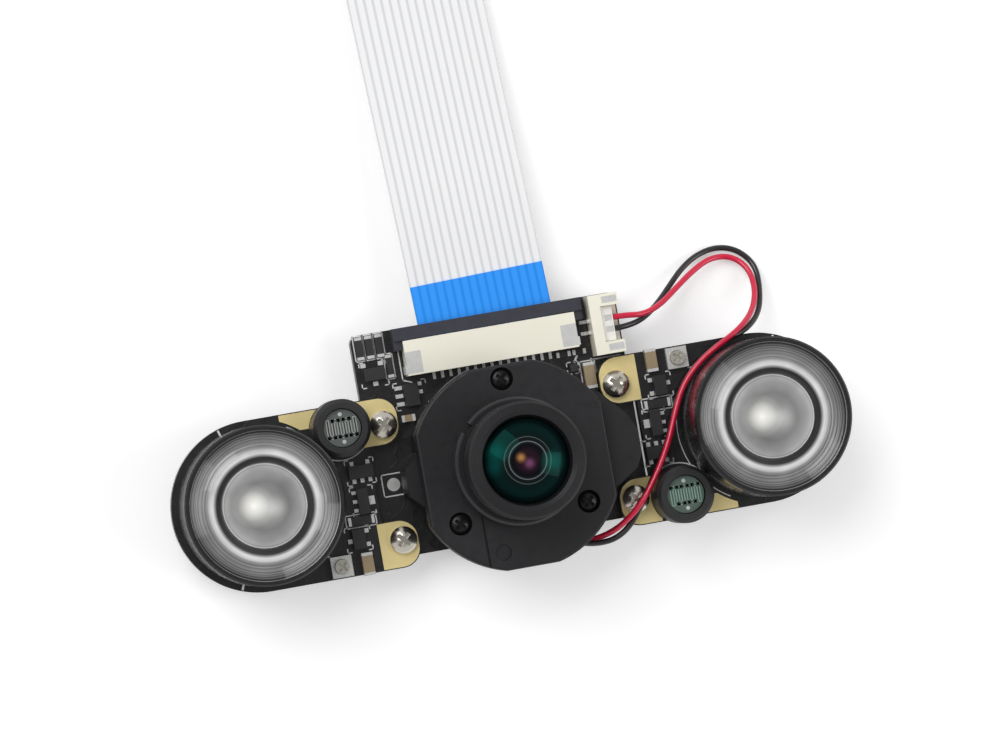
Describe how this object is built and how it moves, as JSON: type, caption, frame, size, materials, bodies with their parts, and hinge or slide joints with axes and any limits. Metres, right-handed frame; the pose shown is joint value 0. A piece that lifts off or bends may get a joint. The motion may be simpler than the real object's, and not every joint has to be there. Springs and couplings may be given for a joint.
{
  "type": "night vision camera module",
  "caption": "Bare camera module on its back: wide-angle screw-in lens on a switchable filter housing, ribbon cable and two infrared lamp boards screwed to its sides.",
  "frame": {"origin": "centre of the four board screws, on the plane their ends stand on", "axes": "+Z the way the lens looks, +X along the row of lamps to the right, +Y to the ribbon socket"},
  "size_m": [0.0806, 0.1752, 0.0235],
  "materials": {
    "board_black": "satin black solder mask",
    "gold_pad": "gold plated",
    "tinned": "tinned",
    "nickel_screw": "nickel plated",
    "black_screw": "black oxide",
    "chip_black": "moulded package",
    "capacitor_tan": "ceramic",
    "housing_black": "fine matte",
    "cup_black": "satin",
    "lamp_lens": "ringed clear lens",
    "emitter": "clear dome on a white base",
    "photo_sensor": "pale track on a grey face",
    "sleeve_black": "matte",
    "trimmer_metal": "bright",
    "trimmer_brass": "bright",
    "lens_black": "anodised, fine turned rings",
    "lens_glass": "coated",
    "ring_black": "satin",
    "filter_red": "infrared cut",
    "filter_clear": "clear",
    "magnet": "plated",
    "copper": "enamelled copper wire",
    "yoke_steel": "soft iron",
    "arm_black": "moulded",
    "sensor_ceramic": "package",
    "cream_plastic": "cream connector plastic",
    "slate_plastic": "dark slate",
    "plug_white": "white",
    "ribbon_white": "white film with faint grey lines",
    "stiffener_blue": "blue film",
    "wire_red": "glossy sheath",
    "wire_black": "glossy sheath"
  },
  "bodies": {
    "module": {"camera_board": "board_black", "image_sensor": "sensor_ceramic", "sensor_glass": "filter_clear", "camera_chips": "chip_black", "camera_capacitors": "capacitor_tan", "camera_terminals": "tinned", "left_lamp_chips": "chip_black", "left_lamp_capacitors": "capacitor_tan", "left_lamp_terminals": "tinned", "right_lamp_chips": "chip_black", "right_lamp_capacitors": "capacitor_tan", "right_lamp_terminals": "tinned", "left_lamp_board": "board_black", "left_lamp_pads": "gold_pad", "left_lamp_cup": "cup_black", "left_lamp_lens": "lamp_lens", "left_lamp_emitter": "emitter", "left_lamp_light_sensor": "photo_sensor", "left_lamp_sensor_sleeve": "sleeve_black", "left_lamp_trimmer_body": "trimmer_metal", "right_lamp_board": "board_black", "right_lamp_pads": "gold_pad", "right_lamp_cup": "cup_black", "right_lamp_lens": "lamp_lens", "right_lamp_emitter": "emitter", "right_lamp_light_sensor": "photo_sensor", "right_lamp_sensor_sleeve": "sleeve_black", "right_lamp_trimmer_body": "trimmer_metal", "board_screws": "nickel_screw", "board_nuts": "nickel_screw", "housing_base": "housing_black", "housing_cover": "housing_black", "cover_screws": "black_screw", "back_screws": "nickel_screw", "drive_coil": "copper", "coil_yoke": "yoke_steel", "ribbon_socket_body": "cream_plastic", "ribbon_socket_clips": "tinned", "ribbon_socket_tails": "tinned", "ribbon_cable": "ribbon_white", "ribbon_near_stiffener": "stiffener_blue", "ribbon_far_stiffener": "stiffener_blue", "ribbon_far_contacts": "gold_pad", "lead_socket": "cream_plastic", "lead_metal": "tinned", "lead_plug": "plug_white", "red_wire": "wire_red", "black_wire": "wire_black"},
    "lens": {"lens_barrel": "lens_black", "front_glass": "lens_glass", "lens_inner_ring": "ring_black", "inner_glasses": "lens_glass"},
    "lock_ring": {"lock_ring": "ring_black"},
    "filter": {"filter_arm": "arm_black", "infrared_cut_glass": "filter_red", "clear_glass": "filter_clear", "rotor_magnet": "magnet"},
    "left_trimmer": {"left_lamp_trimmer_rotor": "trimmer_brass"},
    "right_trimmer": {"right_lamp_trimmer_rotor": "trimmer_brass"},
    "lock_bar": {"ribbon_lock_bar": "slate_plastic"}
  },
  "joints": [
    {"name": "focus_turn", "type": "hinge", "parent": "module", "child": "lens", "pos_m": [-0.00025, 0, 0.019], "axis": [0, 0, 1], "range_deg": [-180, 180]},
    {"name": "lock_ring_turn", "type": "hinge", "parent": "module", "child": "lock_ring", "pos_m": [-0.00025, 0, 0.0155], "axis": [0, 0, 1], "range_deg": [0, 90]},
    {"name": "filter_swing", "type": "hinge", "parent": "module", "child": "filter", "pos_m": [-0.00025, -0.0076, 0.0092], "axis": [0, 0, 1], "range_deg": [0, 43.24]},
    {"name": "left_trimmer_turn", "type": "hinge", "parent": "module", "child": "left_trimmer", "pos_m": [-0.0217, -0.0087, 0.0067], "axis": [0, 0, 1], "range_deg": [-130, 130]},
    {"name": "right_trimmer_turn", "type": "hinge", "parent": "module", "child": "right_trimmer", "pos_m": [0.0217, 0.0087, 0.0067], "axis": [0, 0, 1], "range_deg": [-130, 130]},
    {"name": "lock_bar_slide", "type": "slide", "parent": "module", "child": "lock_bar", "axis": [0, 1, 0], "range_m": [0, 0.0012]}
  ]
}
